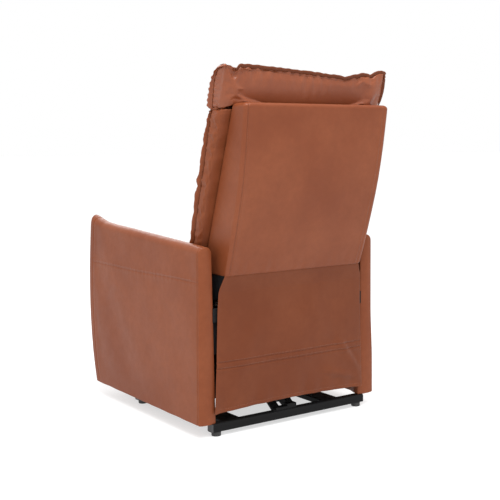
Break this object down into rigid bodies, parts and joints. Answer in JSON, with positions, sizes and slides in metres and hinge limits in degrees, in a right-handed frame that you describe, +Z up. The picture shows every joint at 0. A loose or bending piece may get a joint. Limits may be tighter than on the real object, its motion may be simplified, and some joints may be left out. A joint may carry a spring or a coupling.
{
  "type": "lift recliner chair",
  "caption": "Leather power lift recliner: four-bar lift base, reclining backrest with pillow-top cushion, folding footrest, solid padded arms.",
  "frame": {"origin": "centre of the chair's bounding box in plan, on the floor under the feet", "axes": "+Z up, -Y the way the chair faces, +X the sitter's left"},
  "size_m": [0.708, 0.8878, 1.126],
  "materials": {
    "leather": "smooth cognac leather, satin",
    "black_steel": "satin black powder coat",
    "black_plastic": "moulded, fine grain",
    "foot_plastic": "hard plastic, matte",
    "zinc_steel": "bright zinc plate",
    "plywood": "bare plywood",
    "spring_clip_plastic": "natural nylon",
    "white_tape": "white woven tape",
    "webbing": "elastic webbing",
    "motor_plastic": "glass-filled nylon",
    "black_anodised": "black anodised",
    "black_lining": "boards wrapped in black lining cloth",
    "lead_rubber": "black PVC sheath",
    "button_plastic": "satin grey"
  },
  "bodies": {
    "base": {"base_rear_rail": "black_steel", "base_front_rail": "black_steel", "base_side_rails": "black_steel", "rail_end_caps": "black_plastic", "base_feet": "foot_plastic", "base_pivot_ears": "black_steel", "base_pivot_bolts": "zinc_steel", "lift_motor_clevis": "black_steel"},
    "front_lift_links": {"front_lift_links": "black_steel", "lift_torque_tube": "black_steel", "lift_drive_lever": "black_steel"},
    "rear_lift_links": {"rear_lift_links": "black_steel"},
    "chassis": {"lift_brackets": "black_steel", "chassis_side_plates": "black_steel", "chassis_cross_tubes": "black_steel", "chassis_pivot_pins": "zinc_steel", "chassis_screws": "zinc_steel", "chassis_motor_clevises": "black_steel", "seat_side_boards": "black_lining", "seat_cross_rails": "black_lining", "seat_springs": "zinc_steel", "spring_clips": "spring_clip_plastic", "seat_cushion": "leather", "control_box": "black_plastic", "power_inlet": "black_plastic", "arm_panels": "plywood", "left_arm_cover": "leather", "right_arm_cover": "leather", "arm_bolts": "zinc_steel", "control_panel": "black_plastic", "label_tag": "white_tape", "rear_skirt": "leather"},
    "backrest": {"back_shell": "leather", "back_frame": "plywood", "back_webbing": "webbing", "back_cushion": "leather", "head_cushion": "leather", "back_brackets": "black_steel"},
    "footrest_front_links": {"footrest_front_links": "black_steel", "footrest_crossbar": "black_steel"},
    "footrest_upper_links": {"footrest_upper_links": "black_steel"},
    "footrest_guide_links": {"footrest_guide_links": "black_steel"},
    "footrest_level_links": {"footrest_level_links": "black_steel"},
    "footrest_panel": {"footrest_board": "plywood", "footrest_brackets": "black_steel", "footrest_pad": "leather"},
    "lift_motor": {"lift_motor": "motor_plastic", "lift_actuator_tube": "black_anodised", "lift_motor_lead": "lead_rubber"},
    "lift_rod": {"lift_actuator_rod": "zinc_steel"},
    "footrest_motor": {"footrest_motor": "motor_plastic", "footrest_actuator_tube": "black_anodised"},
    "footrest_rod": {"footrest_actuator_rod": "zinc_steel"},
    "recline_motor": {"recline_motor": "motor_plastic", "recline_actuator_tube": "black_anodised"},
    "recline_rod": {"recline_actuator_rod": "zinc_steel"},
    "button_raise": {"button_raise": "button_plastic"},
    "button_lower": {"button_lower": "button_plastic"},
    "button_recline": {"button_recline": "button_plastic"},
    "button_upright": {"button_upright": "button_plastic"}
  },
  "joints": [
    {"name": "lift", "type": "hinge", "parent": "base", "child": "front_lift_links", "pos_m": [0, -0.11581, 0.05808], "axis": [1, 0, 0], "range_deg": [0, 67.9]},
    {"name": "rear_link_swing", "type": "hinge", "parent": "base", "child": "rear_lift_links", "pos_m": [0, -0.05697, 0.0973], "axis": [1, 0, 0], "range_deg": [0, 61.11]},
    {"name": "chassis_tilt", "type": "hinge", "parent": "front_lift_links", "child": "chassis", "pos_m": [0, 0.1215, 0.07125], "axis": [1, 0, 0], "range_deg": [-45.9, 0]},
    {"name": "back_recline", "type": "hinge", "parent": "chassis", "child": "backrest", "pos_m": [0, 0.215, 0.385], "axis": [1, 0, 0], "range_deg": [-40, 0]},
    {"name": "footrest_raise", "type": "hinge", "parent": "chassis", "child": "footrest_front_links", "pos_m": [0, -0.13787, 0.33978], "axis": [1, 0, 0], "range_deg": [-86.8, 0]},
    {"name": "footrest_upper_turn", "type": "hinge", "parent": "footrest_front_links", "child": "footrest_upper_links", "pos_m": [0, -0.15275, 0.11498], "axis": [1, 0, 0], "range_deg": [0, 133.22]},
    {"name": "footrest_guide_swing", "type": "hinge", "parent": "chassis", "child": "footrest_guide_links", "pos_m": [0, -0.19733, 0.28602], "axis": [1, 0, 0], "range_deg": [-97.7, 0]},
    {"name": "footrest_level_turn", "type": "hinge", "parent": "footrest_front_links", "child": "footrest_level_links", "pos_m": [0, -0.15487, 0.18951], "axis": [1, 0, 0], "range_deg": [0, 132.03]},
    {"name": "footrest_panel_turn", "type": "hinge", "parent": "footrest_upper_links", "child": "footrest_panel", "pos_m": [0, -0.322, 0.29], "axis": [1, 0, 0], "range_deg": [-136.42, 0]},
    {"name": "lift_motor_swing", "type": "hinge", "parent": "base", "child": "lift_motor", "pos_m": [-0.01, 0.23517, 0.06113], "axis": [1, 0, 0], "range_deg": [0, 4.39]},
    {"name": "lift_rod_stroke", "type": "slide", "parent": "lift_motor", "child": "lift_rod", "axis": [0, -0.9796, 0.201], "range_m": [0, 0.07994]},
    {"name": "footrest_motor_swing", "type": "hinge", "parent": "chassis", "child": "footrest_motor", "pos_m": [0.13, 0.12092, 0.2404], "axis": [1, 0, 0], "range_deg": [-1.48, 0]},
    {"name": "footrest_rod_stroke", "type": "slide", "parent": "footrest_motor", "child": "footrest_rod", "axis": [0, -0.9628, 0.2702], "range_m": [0, 0.04016]},
    {"name": "recline_motor_swing", "type": "hinge", "parent": "chassis", "child": "recline_motor", "pos_m": [-0.12, -0.04008, 0.27997], "axis": [1, 0, 0], "range_deg": [-4.32, 0]},
    {"name": "recline_rod_stroke", "type": "slide", "parent": "recline_motor", "child": "recline_rod", "axis": [0, 0.9865, 0.1635], "range_m": [-0.05, 0]},
    {"name": "button_raise_press", "type": "slide", "parent": "chassis", "child": "button_raise", "axis": [-1, 0, 0], "range_m": [0, 0.0015], "stiffness_N_per_m": 400, "springref_m": -0.001},
    {"name": "button_lower_press", "type": "slide", "parent": "chassis", "child": "button_lower", "axis": [-1, 0, 0], "range_m": [0, 0.0015], "stiffness_N_per_m": 400, "springref_m": -0.001},
    {"name": "button_recline_press", "type": "slide", "parent": "chassis", "child": "button_recline", "axis": [-1, 0, 0], "range_m": [0, 0.0015], "stiffness_N_per_m": 400, "springref_m": -0.001},
    {"name": "button_upright_press", "type": "slide", "parent": "chassis", "child": "button_upright", "axis": [-1, 0, 0], "range_m": [0, 0.0015], "stiffness_N_per_m": 400, "springref_m": -0.001}
  ],
  "couplings": [
    {"joint": "rear_link_swing", "follows": "lift", "ratio": 0.9},
    {"joint": "chassis_tilt", "follows": "lift", "ratio": -0.67599},
    {"joint": "footrest_upper_turn", "follows": "footrest_raise", "ratio": -1.5348},
    {"joint": "footrest_guide_swing", "follows": "footrest_raise", "ratio": 1.1256},
    {"joint": "footrest_level_turn", "follows": "footrest_raise", "ratio": -1.5211},
    {"joint": "footrest_panel_turn", "follows": "footrest_raise", "ratio": 1.5717},
    {"joint": "lift_motor_swing", "follows": "lift", "ratio": 0.064683},
    {"joint": "lift_rod_stroke", "follows": "lift", "m_per_rad": 0.067455},
    {"joint": "footrest_motor_swing", "follows": "footrest_raise", "ratio": 0.017085},
    {"joint": "footrest_rod_stroke", "follows": "footrest_raise", "m_per_rad": -0.026509},
    {"joint": "recline_motor_swing", "follows": "back_recline", "ratio": 0.108},
    {"joint": "recline_rod_stroke", "follows": "back_recline", "m_per_rad": 0.07162}
  ]
}
